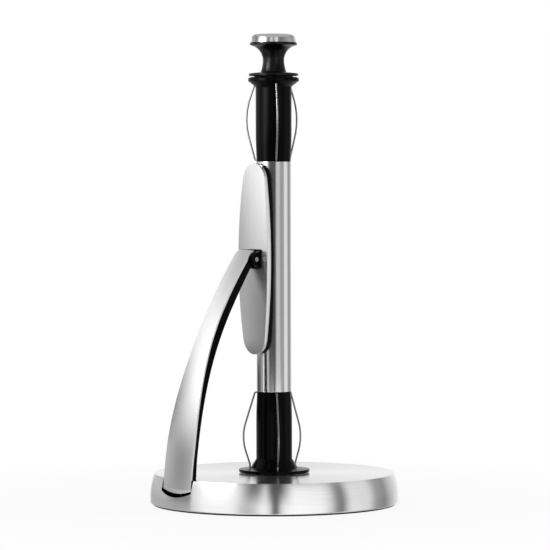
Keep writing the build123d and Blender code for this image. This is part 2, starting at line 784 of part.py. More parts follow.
# Pad back: moulded block inside the cover, with the strip that shows and faces the roll
with BuildPart() as pad_back:
    extrude(pad_outline(pad_face_wall + seat_gap, pad_contact), amount=-2 * pad_depth)
    extrude(pad_outline(pad_back_inset, pad_contact), amount=-pad_back_depth)
    add(pad_crown(pad_face_wall + seat_gap), mode=Mode.INTERSECT)
    with Locations((-clevis_seat, 0, pad_level)):
        Box(
            2 * pad_depth,
            window_width,
            window_height,
            align=(Align.MAX, Align.CENTER, Align.CENTER),
            mode=Mode.SUBTRACT,
        )
    with Locations(Plane((-pad_contact - pad_screw_recess, 0, pad_level), z_dir=(1, 0, 0))):
        with GridLocations(0, 2 * pad_screw_spread, 1, 2):
            CounterSinkHole(
                pad_screw_radius + seat_gap, pad_screw_head_radius + seat_gap, counter_sink_angle=90
            )
            Cylinder(pad_screw_head_radius + seat_gap, 2 * pad_screw_recess, mode=Mode.SUBTRACT)

# Pad clevis: block in the cover's window with a rounded cheek on each side of the knuckle
with BuildPart() as pad_clevis:
    with Locations((-clevis_seat, 0, pad_level)):
        Box(
            clevis_depth,
            2 * cheek_half_span,
            2 * clevis_half_height,
            align=(Align.MAX, Align.CENTER, Align.CENTER),
        )
    for side in (1, -1):
        with BuildSketch(Plane.XZ.offset(side * cheek_inner)):
            with Locations(at(*pin_spot)):
                Circle(cheek_nose_radius)
            with Locations(at(pad_front - clevis_depth / 2, pad_level)):
                Rectangle(clevis_depth, 2 * clevis_half_height)
            make_hull()
        extrude(amount=side * cheek_thickness)
    with BuildSketch(Plane.XZ):
        with Locations(at(*pin_spot)):
            Circle(pad_pin_radius + seat_gap / 2)
    extrude(amount=base_radius, both=True, mode=Mode.SUBTRACT)
    with Locations(Plane((-clevis_seat, 0, pad_level), z_dir=(1, 0, 0))):
        with GridLocations(0, 2 * pad_screw_spread, 1, 2):
            Hole(pad_screw_radius + seat_gap, depth=pad_screw_depth + seat_gap)

# Pad pin: steel, with a low round head on each cheek
with BuildPart() as pad_pin:
    with BuildSketch(Plane.XZ):
        with Locations(at(*pin_spot)):
            Circle(pad_pin_radius)
    extrude(amount=cheek_half_span, both=True)
    for side in (1, -1):
        with BuildSketch(Plane.XZ.offset(side * cheek_half_span)):
            with Locations(at(*pin_spot)):
                Circle(pad_pin_head_radius)
        extrude(amount=side * pad_pin_head_height)
    chamfer(pad_pin.faces().sort_by(Axis.Y)[0].edges(), pad_pin_head_height / 2)
    chamfer(pad_pin.faces().sort_by(Axis.Y)[-1].edges(), pad_pin_head_height / 2)

# Pad screws: countersunk, from the roll's side through the back into the clevis
with BuildPart() as pad_screws:
    with Locations(Plane((-pad_contact - pad_screw_recess, 0, pad_level), z_dir=(-1, 0, 0))):
        with GridLocations(0, 2 * pad_screw_spread, 1, 2):
            screw_reach = clevis_seat - pad_contact - pad_screw_recess + pad_screw_depth
            Cylinder(pad_screw_radius, screw_reach, align=upright)
            head_height = pad_screw_head_radius - pad_screw_radius
            Cone(pad_screw_head_radius, pad_screw_radius, head_height, align=upright)

pieces = {
    "base_shell": base_shell,
    "base_plate": base_plate,
    "base_weight": base_weight,
    "foot_ring": foot_ring,
    "base_screws": base_screws,
    "arm_housing": arm_housing,
    "arm_hinge_pin": arm_hinge_pin,
    "arm_spring": arm_spring,
    "center_rod": center_rod,
    "rod_washer": rod_washer,
    "rod_nut": rod_nut,
    "thrust_washer": thrust_washer,
    "post_tube": post_tube,
    "lower_sleeve": lower_sleeve,
    "upper_sleeve": upper_sleeve,
    "lower_bush": lower_bush,
    "upper_bush": upper_bush,
    "knob": knob,
    "knob_insert": knob_insert,
    "knob_cap": knob_cap,
    "arm_skin": arm_skin,
    "arm_core": arm_core,
    "pad_face": pad_face,
    "pad_back": pad_back,
    "pad_clevis": pad_clevis,
    "pad_pin": pad_pin,
    "pad_screws": pad_screws,
}
for number in range(wire_count):
    pieces[f"lower_wire_{number + 1}"] = lower_wires[number]
    pieces[f"upper_wire_{number + 1}"] = upper_wires[number]
for name, piece in pieces.items():
    piece.part.label = name
    export_step(piece.part, f"parts/{name}.step")
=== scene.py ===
import math

import bmesh
import bpy
from mathutils import Matrix, Vector


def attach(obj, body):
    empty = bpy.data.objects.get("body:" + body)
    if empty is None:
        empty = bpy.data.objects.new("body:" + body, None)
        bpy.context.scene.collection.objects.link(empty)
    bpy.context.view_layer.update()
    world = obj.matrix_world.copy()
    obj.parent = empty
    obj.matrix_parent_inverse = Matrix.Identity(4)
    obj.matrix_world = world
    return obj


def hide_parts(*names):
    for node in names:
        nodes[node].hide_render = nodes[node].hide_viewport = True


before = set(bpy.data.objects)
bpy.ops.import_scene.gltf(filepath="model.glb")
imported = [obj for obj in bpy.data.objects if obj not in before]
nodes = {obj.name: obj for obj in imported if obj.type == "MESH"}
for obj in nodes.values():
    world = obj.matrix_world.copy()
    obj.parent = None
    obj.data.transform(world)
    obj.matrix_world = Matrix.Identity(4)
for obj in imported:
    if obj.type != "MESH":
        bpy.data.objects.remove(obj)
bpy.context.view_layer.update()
scene = bpy.context.scene

# The camera stands 2.45 m from the post, at seven tenths of its height, and looks slightly down.
# It sees the holder from the arm's side, 37 degrees round from the front, through a long lens.
camera_turn, camera_away, camera_height = 37.0, 2.45, 0.2554
camera_tilt, camera_roll, camera_aside = math.radians(88.129), math.radians(0.11), math.radians(0.0235)
view_turn = math.radians(-camera_turn)
lens = bpy.data.cameras.new("camera")
lens.sensor_width = 36.0
lens.lens = 209.6
camera = bpy.data.objects.new("camera", lens)
camera.location = (camera_away * math.sin(view_turn), -camera_away * math.cos(view_turn), camera_height)
camera.rotation_euler = (camera_tilt, camera_roll, view_turn - camera_aside)
scene.collection.objects.link(camera)
scene.camera = camera

# Base weight: a sand-cast iron disc that keeps the holder upright while a sheet is torn.
# It lies hidden under the shell, dark and finely pitted, clamped by the rod's nut.
mm = 0.001


def new_finish(name, metallic, darkest, lightest, dullest, shiniest):
    """A finish whose colour and roughness vary by one noise, with the nodes that shape it further."""
    finish = bpy.data.materials.new(name)
    finish.use_nodes = True
    tree = finish.node_tree
    shader = tree.nodes["Principled BSDF"]
    shader.inputs["Metallic"].default_value = metallic
    place = tree.nodes.new("ShaderNodeTexCoord")
    noise = tree.nodes.new("ShaderNodeTexNoise")
    tone = tree.nodes.new("ShaderNodeMix")
    tone.data_type = "RGBA"
    tone.inputs["A"].default_value = (*darkest, 1.0)
    tone.inputs["B"].default_value = (*lightest, 1.0)
    gloss = tree.nodes.new("ShaderNodeMapRange")
    gloss.inputs["To Min"].default_value = dullest
    gloss.inputs["To Max"].default_value = shiniest
    relief = tree.nodes.new("ShaderNodeBump")
    tree.links.new(place.outputs["Object"], noise.inputs["Vector"])
    tree.links.new(noise.outputs["Fac"], tone.inputs["Factor"])
    tree.links.new(tone.outputs["Result"], shader.inputs["Base Color"])
    tree.links.new(noise.outputs["Fac"], gloss.inputs["Value"])
    tree.links.new(gloss.outputs["Result"], shader.inputs["Roughness"])
    tree.links.new(noise.outputs["Fac"], relief.inputs["Height"])
    tree.links.new(relief.outputs["Normal"], shader.inputs["Normal"])
    return finish, tree, shader, place, noise, relief


def dress(finish, *names):
    """Gives CAD nodes one finish."""
    for name in names:
        nodes[name].data.materials.clear()
        nodes[name].data.materials.append(finish)


cast_iron, _, _, _, noise, relief = new_finish(
    "cast_iron", 0.5, (0.05, 0.05, 0.052), (0.15, 0.145, 0.14), 0.8, 0.55
)
noise.inputs["Scale"].default_value = 700.0
noise.inputs["Detail"].default_value = 6.0
relief.inputs["Strength"].default_value = 0.5
relief.inputs["Distance"].default_value = 0.4 * mm
dress(cast_iron, "base_weight")

# Base plate: a disc of sheet steel that closes the base from below, held by four screws.
# It is powder coated black, with the fine orange peel of a baked coat.
black_coat, _, shader, _, noise, relief = new_finish(
    "black_coat", 0.0, (0.010, 0.010, 0.011), (0.022, 0.022, 0.023), 0.55, 0.4
)
shader.inputs["Specular IOR Level"].default_value = 0.4
noise.inputs["Scale"].default_value = 1200.0
noise.inputs["Detail"].default_value = 3.0
relief.inputs["Strength"].default_value = 0.25
relief.inputs["Distance"].default_value = 0.1 * mm
dress(black_coat, "base_plate")

# Screws of the plate and of the pad: turned steel with a zinc plating that shows pale crystals.
# The plate's four hold it to the weight; the pad's two pull the clevis on to the pad's back.
zinc_plate, tree, _, place, noise, relief = new_finish(
    "zinc_plate", 1.0, (0.42, 0.43, 0.45), (0.62, 0.63, 0.64), 0.5, 0.32
)
crystals = tree.nodes.new("ShaderNodeTexVoronoi")
crystals.inputs["Scale"].default_value = 260.0
tree.links.new(place.outputs["Object"], crystals.inputs["Vector"])
blend = tree.nodes.new("ShaderNodeMix")
blend.inputs["Factor"].default_value = 0.5
tree.links.new(noise.outputs["Fac"], blend.inputs["A"])
tree.links.new(crystals.outputs["Color"], blend.inputs["B"])
for reader, socket in (("Mix", "Factor"), ("Map Range", "Value")):
    tree.links.new(blend.outputs["Result"], tree.nodes[reader].inputs[socket])
noise.inputs["Scale"].default_value = 900.0
relief.inputs["Strength"].default_value = 0.15
relief.inputs["Distance"].default_value = 0.1 * mm
dress(zinc_plate, "base_screws", "pad_screws")

# Foot ring: a soft black rubber strip under the rim that keeps the holder from sliding.
# It is moulded, dull, and dusty where it meets the table.
foot_rubber, _, shader, _, noise, relief = new_finish(
    "foot_rubber", 0.0, (0.008, 0.008, 0.008), (0.022, 0.021, 0.02), 0.85, 0.7
)
shader.inputs["Specular IOR Level"].default_value = 0.25
noise.inputs["Scale"].default_value = 1800.0
noise.inputs["Detail"].default_value = 4.0
relief.inputs["Strength"].default_value = 0.3
relief.inputs["Distance"].default_value = 0.15 * mm
dress(foot_rubber, "foot_ring")

# Base shell: a cover drawn from 1.2 mm steel sheet, with a bowed wall and a rolled shoulder.
# It is brushed on a turntable, so its lines run in circles, and a slot for the arm is cut in its edge.
crisp = math.radians(35.0)


def turned(corners, steps):
    """A solid turned about the post: corners are (radius, height, length softened, pieces in the bend)."""
    shape = bmesh.new()
    chain = [shape.verts.new((radius * mm, 0.0, height * mm)) for radius, height, _, _ in corners]
    for start, end in zip(chain, chain[1:] + chain[:1]):
        shape.edges.new((start, end))
    for spot, (_, _, soft, bends) in zip(chain, corners):
        if soft:
            bmesh.ops.bevel(
                shape, geom=[spot], offset=soft * mm, offset_type="OFFSET", segments=bends,
                profile=0.5, affect="VERTICES", material=-1, clamp_overlap=False,
            )
    bmesh.ops.spin(
        shape, geom=shape.verts[:] + shape.edges[:], axis=(0, 0, 1), cent=(0, 0, 0),
        angle=math.tau, steps=steps, use_merge=True,
    )
    bmesh.ops.remove_doubles(shape, verts=shape.verts[:], dist=0.002 * mm)
    bmesh.ops.recalc_face_normals(shape, faces=shape.faces[:])
    return shape


def lay_brush_lines(shape):
    """Surface coordinates for turned steel: U runs across the brush lines, V round the axis."""
    layer = shape.loops.layers.uv.new("brush")
    for face in shape.faces:
        middle = face.calc_center_median()
        facing = math.atan2(middle.y, middle.x)
        for loop in face.loops:
            x, y, z = loop.vert.co
            radius = math.hypot(x, y)
            lead = 0.0
            if radius > 0.01 * mm:
                lead = math.remainder(math.atan2(y, x) - facing, math.tau)
            loop[layer].uv = (radius - z, (facing + lead) / math.tau)


def flat_shading(made):
    """Keeps flats flat beside rounded edges."""
    even = made.modifiers.new("even_shading", "WEIGHTED_NORMAL")
    even.keep_sharp = True


def piece(name, shape, finish):
    """Turns a shape into a smooth object with crisp edges."""
    mesh = bpy.data.meshes.new(name)
    shape.to_mesh(mesh)
    shape.free()
    mesh.shade_smooth()
    mesh.set_sharp_from_angle(angle=crisp)
    mesh.materials.append(finish)
    made = bpy.data.objects.new(name, mesh)
    scene.collection.objects.link(made)
    return made


def brushed_steel(name, turning, dullest, shiniest, smear, lines_per_metre, contrast):
    """Satin steel with fine lines, in circles about the post or along the length of a strip."""
    paleness, coolness, lengthwise = 0.8, 0.005, 18.0
    darkest, lightest = paleness - contrast / 2, paleness + contrast / 2
    finish, tree, shader, place, noise, relief = new_finish(
        name, 1.0, (darkest, darkest, darkest + coolness), (lightest, lightest, lightest + coolness),
        dullest, shiniest,
    )
    spread = tree.nodes.new("ShaderNodeSeparateXYZ")
    lines = tree.nodes.new("ShaderNodeCombineXYZ")
    tree.links.new(place.outputs["Object"], spread.inputs["Vector"])
    if turning:
        flat = tree.nodes.new("ShaderNodeVectorMath")
        flat.operation = "MULTIPLY"
        flat.inputs[1].default_value = (1.0, 1.0, 0.0)
        radius = tree.nodes.new("ShaderNodeVectorMath")
        radius.operation = "LENGTH"
        down = tree.nodes.new("ShaderNodeMath")
        down.operation = "SUBTRACT"
        tree.links.new(place.outputs["Object"], flat.inputs[0])
        tree.links.new(flat.outputs["Vector"], radius.inputs[0])
        tree.links.new(radius.outputs["Value"], down.inputs[0])
        tree.links.new(spread.outputs["Z"], down.inputs[1])
        across, along, aside = down.outputs["Value"], spread.outputs["X"], spread.outputs["Y"]
    else:
        across, along, aside = spread.outputs["Y"], spread.outputs["Z"], spread.outputs["X"]
    for socket, source, scale in (
        ("X", across, lines_per_metre), ("Y", along, lengthwise), ("Z", aside, lengthwise)
    ):
        stretch = tree.nodes.new("ShaderNodeMath")
        stretch.operation = "MULTIPLY"
        stretch.inputs[1].default_value = scale
        tree.links.new(source, stretch.inputs[0])
        tree.links.new(stretch.outputs["Value"], lines.inputs[socket])
    tree.links.new(lines.outputs["Vector"], noise.inputs["Vector"])
    noise.inputs["Scale"].default_value = 1.0
    noise.inputs["Detail"].default_value = 3.0
    noise.inputs["Roughness"].default_value = 0.65
    relief.inputs["Strength"].default_value = 0.02
    relief.inputs["Distance"].default_value = 0.02 * mm
    tangent = tree.nodes.new("ShaderNodeTangent")
    tangent.direction_type = "UV_MAP"
    tangent.uv_map = "brush"
    tree.links.new(tangent.outputs["Tangent"], shader.inputs["Tangent"])
    shader.inputs["Anisotropic"].default_value = smear
    return finish


turned_steel = brushed_steel(
    "turned_steel", True, dullest=0.21, shiniest=0.14, smear=0.75, lines_per_metre=900.0, contrast=0.1
)
shape = turned(
    [
        (94.99, 1.2, 1.1, 4), (94.99, 15.52, 9.02, 12), (91.7, 23.9, 1.22, 6), (4.1, 23.9, 0, 1),
        (4.1, 22.7, 0, 1), (90.5, 22.7, 0.6, 3), (93.8, 15.1, 8.5, 8), (93.8, 2.7, 0, 1),
        (92.2, 2.7, 0, 1), (92.2, 1.2, 0.3, 2),
    ],
    steps=192,
)
lay_brush_lines(shape)
base_shell = piece("shell", shape, turned_steel)

# The shell's slot is nibbled out of its wall and shoulder, so that the arm's foot can swing out.
# Its sill bows down between the sides, and its two inner corners are rounded as seen from above.
slot_half, slot_inside, slot_reach, slot_top, slot_corner = 19.0, 84.6, 20.0, 26.0, 2.5
sill_low, sill_end, sill_bow = 10.6, 14.4, 3.8
sill_radius = (slot_half**2 + sill_bow**2) / (2 * sill_bow)
sill_swing = math.asin(slot_half / sill_radius)


def new_spots(result, key="geom"):
    """The vertices that an operator has just made."""
    return [item for item in result[key] if isinstance(item, bmesh.types.BMVert)]


cut = bmesh.new()
corner = cut.verts.new((-slot_inside * mm, slot_half * mm, sill_end * mm))
bmesh.ops.spin(
    cut, geom=[corner], axis=(1, 0, 0), cent=(-slot_inside * mm, 0, (sill_low + sill_radius) * mm),
    angle=-2 * sill_swing, steps=24,
)
cut.verts.ensure_lookup_table()
ends = sorted(cut.verts, key=lambda spot: abs(spot.co.y))[-2:]
tops = [cut.verts.new((-slot_inside * mm, spot.co.y, slot_top * mm)) for spot in ends]
cut.edges.new((ends[0], tops[0]))
cut.edges.new((ends[1], tops[1]))
cut.edges.new(tops)
bmesh.ops.edgenet_fill(cut, edges=cut.edges[:])
deep = bmesh.ops.extrude_face_region(cut, geom=cut.faces[:])
bmesh.ops.translate(cut, vec=(-slot_reach * mm, 0, 0), verts=new_spots(deep))
upright = [
    edge for edge in cut.edges
    if all(
        abs(abs(spot.co.y) - slot_half * mm) < 0.01 * mm and abs(spot.co.x + slot_inside * mm) < 0.4 * mm
        for spot in edge.verts
    )
]
bmesh.ops.bevel(
    cut, geom=upright, offset=slot_corner * mm, offset_type="OFFSET", segments=6, profile=0.5,
    affect="EDGES", material=-1,
)
bmesh.ops.recalc_face_normals(cut, faces=cut.faces[:])
slot_cutter = piece("slot_cutter", cut, turned_steel)
slot = base_shell.modifiers.new("slot", "BOOLEAN")
slot.object = slot_cutter
slot.solver = "EXACT"
bpy.context.view_layer.update()
cut_shell = base_shell.evaluated_get(bpy.context.evaluated_depsgraph_get())
base_shell.data = bpy.data.meshes.new_from_object(cut_shell)
base_shell.data.set_sharp_from_angle(angle=crisp)
base_shell.modifiers.clear()
bpy.data.objects.remove(slot_cutter)
flat_shading(base_shell)
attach(base_shell, "base")
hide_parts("base_shell")

# Arm housing: the black moulded well behind the slot, clamped between plate and shell.
# It is satin plastic with a fine moulded grain, the same stuff as the sleeves, knob and arm core.
black_plastic, _, shader, _, noise, relief = new_finish(
    "black_plastic", 0.0, (0.0008, 0.0008, 0.001), (0.0022, 0.0022, 0.0026), 0.24, 0.17
)
shader.inputs["Specular IOR Level"].default_value = 0.06
noise.inputs["Scale"].default_value = 1300.0
noise.inputs["Detail"].default_value = 5.0
relief.inputs["Strength"].default_value = 0.05
relief.inputs["Distance"].default_value = 0.04 * mm
dress(black_plastic, "arm_housing", "arm_core", "pad_back", "pad_clevis")

# Hinge pin, centre rod, its washer and nut, and the pad's pin: bright steel bar, drawn and turned.
# The rod is fixed in the base and carries the turning post; the pins are pressed into their housings.
plain_steel, _, _, _, noise, relief = new_finish(
    "plain_steel", 1.0, (0.56, 0.56, 0.57), (0.72, 0.72, 0.73), 0.36, 0.2
)
noise.inputs["Scale"].default_value = 1100.0
noise.inputs["Detail"].default_value = 4.0
relief.inputs["Strength"].default_value = 0.08
relief.inputs["Distance"].default_value = 0.05 * mm
dress(plain_steel, "arm_hinge_pin", "center_rod", "rod_washer", "rod_nut", "pad_pin")

# Thrust washer and bushes: pale slippery bearing plastic between the rod and the turning post.
# They are moulded, waxy and slightly mottled, and only their edges can be seen.
bearing_plastic, _, _, _, noise, relief = new_finish(
    "bearing_plastic", 0.0, (0.62, 0.61, 0.57), (0.74, 0.73, 0.69), 0.42, 0.3
)
noise.inputs["Scale"].default_value = 500.0
noise.inputs["Detail"].default_value = 4.0
relief.inputs["Strength"].default_value = 0.08
relief.inputs["Distance"].default_value = 0.05 * mm
dress(bearing_plastic, "thrust_washer", "lower_bush", "upper_bush")

# Lower sleeve: black moulded foot of the turning post, with a cone and a thin saucer flange.
# It is pushed into the tube by a spigot, and its flange runs just clear of the base.
shape = turned(
    [
        (6.56, 26.3, 0, 1), (7.9, 26.3, 0, 1), (7.9, 24.5, 0.2, 1), (26.3, 24.5, 0.3, 2),
        (27.1, 24.65, 0.3, 2), (27.1, 26.7, 0.35, 3), (18.0, 27.7, 0.3, 2), (13.75, 34.7, 0.3, 2),
        (13.75, 69.3, 5.0, 3), (13.05, 86.3, 0.15, 1), (12.2, 86.3, 0, 1), (12.2, 98.3, 0.4, 1),
        (6.56, 98.3, 0, 1),
    ],
    steps=128,
)
lower_sleeve = piece("sleeve_lower", shape, black_plastic)
flat_shading(lower_sleeve)
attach(lower_sleeve, "carrier")
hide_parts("lower_sleeve")

# Post tube: brushed steel tube that the roll sits round, held by the spigots of both sleeves.
# It is cut and brushed on a lathe, with the burr taken off both ends.
shape = turned(
    [(13.3, 86.3, 0.25, 2), (13.3, 262.1, 0.25, 2), (12.3, 262.1, 0.15, 1), (12.3, 86.3, 0.15, 1)],
    steps=128,
)
lay_brush_lines(shape)
tube_steel = brushed_steel(
    "tube_steel", True, dullest=0.24, shiniest=0.19, smear=0.7, lines_per_metre=2600.0, contrast=0.09
)
post_tube = piece("tube", shape, tube_steel)
flat_shading(post_tube)
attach(post_tube, "carrier")
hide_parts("post_tube")

# Upper sleeve: the lower one turned over, with a smaller and thicker flange that a roll passes over.
# Black moulded plastic, pushed into the top of the tube.
shape = turned(
    [
        (6.56, 250.1, 0, 1), (12.2, 250.1, 0.4, 1), (12.2, 262.1, 0, 1), (13.05, 262.1, 0.15, 1),
        (13.75, 279.1, 5.0, 3), (13.75, 319.2, 0.8, 3), (19.5, 323.6, 0.35, 2), (19.5, 325.8, 0.35, 2),
        (17.6, 326.6, 0.4, 2), (6.56, 326.6, 0.2, 1),
    ],
    steps=128,
)
upper_sleeve = piece("sleeve_upper", shape, black_plastic)
flat_shading(upper_sleeve)
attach(upper_sleeve, "carrier")
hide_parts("upper_sleeve")

# Spring wires: three round each sleeve, bent from hard-drawn steel wire 1.4 mm thick.
# Each is hooked in beside the tube, bows out to grip the roll's core, and stands in its flange.
spring_wire, tree, _, place, noise, relief = new_finish(
    "spring_wire", 1.0, (0.24, 0.24, 0.25), (0.36, 0.36, 0.37), 0.3, 0.2
)
drawn = tree.nodes.new("ShaderNodeMapping")
drawn.inputs["Scale"].default_value = (4000.0, 4000.0, 120.0)
tree.links.new(place.outputs["Object"], drawn.inputs["Vector"])
tree.links.new(drawn.outputs["Vector"], noise.inputs["Vector"])
noise.inputs["Scale"].default_value = 1.0
relief.inputs["Strength"].default_value = 0.03
relief.inputs["Distance"].default_value = 0.01 * mm
dress(spring_wire, "arm_spring")
for number in (1, 2, 3):
    dress(spring_wire, f"lower_wire_{number}", f"upper_wire_{number}")

# Knob: black waisted grip on a thin disc, moulded in one and screwed on the rod by a brass insert.
# It holds the post down, and its plug carries the steel cap.
insert_brass, _, _, _, noise, relief = new_finish(
    "insert_brass", 1.0, (0.60, 0.42, 0.16), (0.78, 0.58, 0.26), 0.42, 0.25
)
noise.inputs["Scale"].default_value = 1400.0
relief.inputs["Strength"].default_value = 0.1
relief.inputs["Distance"].default_value = 0.05 * mm
dress(insert_brass, "knob_insert")
shape = turned(
    [
        (6.2, 327.0, 0.2, 1), (15.0, 327.0, 0.2, 2), (15.0, 327.5, 0.1, 1), (18.9, 327.5, 0.5, 3),
        (18.9, 329.4, 0.5, 3), (9.9, 330.5, 0.5, 3), (8.15, 335.037, 4.2, 8), (8.15, 347.233, 7.33, 14),
        (14.9, 350.1, 0.5, 3), (18.0, 351.1, 0.4, 2), (18.0, 352.85, 0.35, 2), (15.55, 352.85, 0, 1),
        (15.55, 355.85, 0.3, 1), (0.0, 355.85, 0, 1), (0.0, 343.4, 0, 1), (6.2, 343.4, 0.2, 1),
    ],
    steps=128,
)
# The knob's black is a lit copy of the sleeves' plastic: glossier and a touch darker, so that its neck
# catches a brighter highlight, standing in for stronger light there.
knob_plastic_lit_copy, _, shader, _, noise, relief = new_finish(
    "knob_plastic_lit_copy", 0.0, (0.0006, 0.0006, 0.0008), (0.0016, 0.0016, 0.002), 0.32, 0.25
)
shader.inputs["Specular IOR Level"].default_value = 0.2
noise.inputs["Scale"].default_value = 1300.0
noise.inputs["Detail"].default_value = 5.0
relief.inputs["Strength"].default_value = 0.05
relief.inputs["Distance"].default_value = 0.04 * mm
knob = piece("knob_grip", shape, knob_plastic_lit_copy)
flat_shading(knob)
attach(knob, "base")
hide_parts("knob")

# Knob cap: a shallow domed lid drawn from steel, brushed in circles and pressed over the knob's plug.
# Its edge meets the knob's rim with a fine dark line.
shape = turned(
    [
        (17.6, 352.9, 0.15, 1), (16.268, 358.888, 2.6, 8), (13.6, 359.3, 0, 1), (10.5, 359.54, 0, 1),
        (7.0, 359.74, 0, 1), (3.5, 359.86, 0, 1), (0.0, 359.9, 0, 1), (0.0, 355.95, 0, 1),
        (15.65, 355.95, 0, 1), (15.65, 352.9, 0, 1),
    ],
    steps=128,
)
lay_brush_lines(shape)
knob_cap = piece("cap", shape, turned_steel)
flat_shading(knob_cap)
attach(knob_cap, "base")
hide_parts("knob_cap")

# Arm skin: a bowed strip of 1.3 mm steel, crowned across, that carries the look of the arm.
# It is curled in at the foot, folded over at the tip, brushed lengthwise and fixed on the black core.
strip_steel = brushed_steel(
    "strip_steel", False, dullest=0.28, shiniest=0.23, smear=0.6, lines_per_metre=2600.0, contrast=0.03
)
bow, bow_x, bow_z = 332.0, 238.35, -2.84
foot_level, foot_low, foot_half, foot_bow = 17.3, 13.1, 17.6, 2.5
tip_level, taper, taper_level, taper_run = 193.0, 8.2, 42.0, 108.0
curl, curl_angle = 7.0, math.radians(40.0)
fold, fold_angle, flap_length = 4.0, math.radians(38.0), 1.6
crown_radius, sheet, soft_edge = 97.0, 1.3, 0.3
foot_turn = math.asin((foot_level - bow_z) / bow)
tip_turn = math.asin((tip_level - bow_z) / bow)


def on_bow(radius, turn):
    """A spot beside the arm's long bow, seen from the side."""
    return Vector((bow_x - radius * math.cos(turn), 0, bow_z + radius * math.sin(turn)))


curl_spot = on_bow(bow - curl, foot_turn)
fold_spot = on_bow(bow - fold, tip_turn)
shape = bmesh.new()
first = shape.verts.new((bow_x - bow * math.cos(foot_turn), -1.0, foot_level))
long_run = bmesh.ops.spin(
    shape, geom=[first], axis=(0, 1, 0), cent=(bow_x, 0, bow_z), angle=tip_turn - foot_turn, steps=84
)
folded = bmesh.ops.spin(
    shape, geom=new_spots(long_run, "geom_last"), axis=(0, 1, 0), cent=fold_spot, angle=fold_angle, steps=10
)
flap = bmesh.ops.extrude_vert_indiv(shape, verts=new_spots(folded, "geom_last"))
flap_turn = tip_turn + fold_angle
bmesh.ops.translate(
    shape, vec=(flap_length * math.sin(flap_turn), 0, flap_length * math.cos(flap_turn)), verts=flap["verts"]
)
bmesh.ops.spin(shape, geom=[first], axis=(0, 1, 0), cent=curl_spot, angle=-curl_angle, steps=10)
wide = bmesh.ops.extrude_edge_only(shape, edges=shape.edges[:])
bmesh.ops.translate(shape, vec=(0, 2.0, 0), verts=new_spots(wide))
rungs = [edge for edge in shape.edges if abs(edge.verts[0].co.y - edge.verts[1].co.y) > 1.0]
bmesh.ops.subdivide_edges(shape, edges=rungs, cuts=17)
bmesh.ops.recalc_face_normals(shape, faces=shape.faces[:])
shape.normal_update()
foot_round = (foot_half**2 + foot_bow**2) / (2 * foot_bow)
outward = {spot: spot.normal * (-1.0 if spot.normal.x > 0 else 1.0) for spot in shape.verts}
for spot in shape.verts:
    rise = min(max((spot.co.z - taper_level) / taper_run, 0.0), 1.0)
    across = spot.co.y * (foot_half - taper * rise * rise * (3.0 - 2.0 * rise))
    if spot.co.z < foot_level - 0.01:
        lean = math.atan2(spot.co.z - curl_spot.z, curl_spot.x - spot.co.x)
        foot_line = foot_low + foot_round - math.sqrt(foot_round**2 - across**2)
        furthest = math.asin((foot_line - curl_spot.z) / curl)
        lean = foot_turn + (foot_turn - lean) / curl_angle * (furthest - foot_turn)
        outward[spot] = Vector((-math.cos(lean), 0, math.sin(lean)))
        spot.co = curl_spot + curl * outward[spot]
    spot.co.y = across
    spot.co -= outward[spot] * (crown_radius - math.sqrt(crown_radius**2 - across**2))


def lay_lengthwise_lines(shape):
    """Surface coordinates for a strip: U runs across the brush lines, V along them."""
    layer = shape.loops.layers.uv.new("brush")
    for face in shape.faces:
        for loop in face.loops:
            loop[layer].uv = (loop.vert.co.y * mm, loop.vert.co.z * mm)


def sheet_wall(made, thickness):
    """Gives a skin the thickness of its sheet, inwards."""
    wall = made.modifiers.new("sheet", "SOLIDIFY")
    wall.thickness = thickness * mm
    wall.offset = -1.0
    wall.use_even_offset = True


lay_lengthwise_lines(shape)
bmesh.ops.scale(shape, vec=(mm, mm, mm), verts=shape.verts[:])
bmesh.ops.recalc_face_normals(shape, faces=shape.faces[:])
if sum(face.normal.x for face in shape.faces) > 0:
    bmesh.ops.reverse_faces(shape, faces=shape.faces[:])
arm_skin = piece("arm_strip", shape, strip_steel)
sheet_wall(arm_skin, sheet)
edge = arm_skin.modifiers.new("soft_edge", "BEVEL")
edge.width = soft_edge * mm
edge.segments = 2
edge.limit_method = "ANGLE"
edge.angle_limit = math.radians(50.0)
flat_shading(arm_skin)
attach(arm_skin, "arm")
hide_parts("arm_skin")

# Pad face: a tall oval cover pressed from 1 mm steel, crowned both ways, that leans on the roll.
# It is brushed lengthwise, has a window for the clevis, and clips over the black back.
half_width, half_length, end_radius = 18.3, 72.8, 13.8
pad_level, pad_front, pad_rim, edge_round, pad_sheet = 188.0, 20.9, 16.5, 2.0, 1.0
crown_along, crown_across = 1400.0, 230.0
window_half_width, window_half_height = 11.4, 6.5
end_spot = half_length - end_radius
flank_radius = (end_spot**2 + half_width**2 - end_radius**2) / (2 * (half_width - end_radius))
flank_swing = math.asin(end_spot / (flank_radius - end_radius))
shape = bmesh.new()
first = shape.verts.new((0, half_width, 0))
flank = bmesh.ops.spin(
    shape, geom=[first], axis=(1, 0, 0), cent=(0, half_width - flank_radius, 0), angle=flank_swing, steps=16
)
bmesh.ops.spin(
    shape, geom=new_spots(flank, "geom_last"), axis=(1, 0, 0), cent=(0, 0, end_spot),
    angle=math.pi / 2 - flank_swing, steps=14,
)
for direction in ("Y", "Z"):
    bmesh.ops.mirror(
        shape, geom=shape.verts[:] + shape.edges[:], matrix=Matrix.Identity(4), merge_dist=0.001,
        axis=direction,
    )
bmesh.ops.remove_doubles(shape, verts=shape.verts[:], dist=0.001)
front = bmesh.ops.contextual_create(shape, geom=shape.edges[:])["faces"][0]
inset_of = {spot: 0.0 for spot in front.verts}
reached = 0.0
for step in (0.15, 0.35, 0.45, 0.5, 0.55, 1.0):
    bmesh.ops.inset_region(shape, faces=[front], thickness=step, use_boundary=True, use_even_offset=True)
    reached += step
    for spot in front.verts:
        inset_of[spot] = reached
inner = list(front.edges)
bmesh.ops.delete(shape, geom=[front], context="FACES_ONLY")
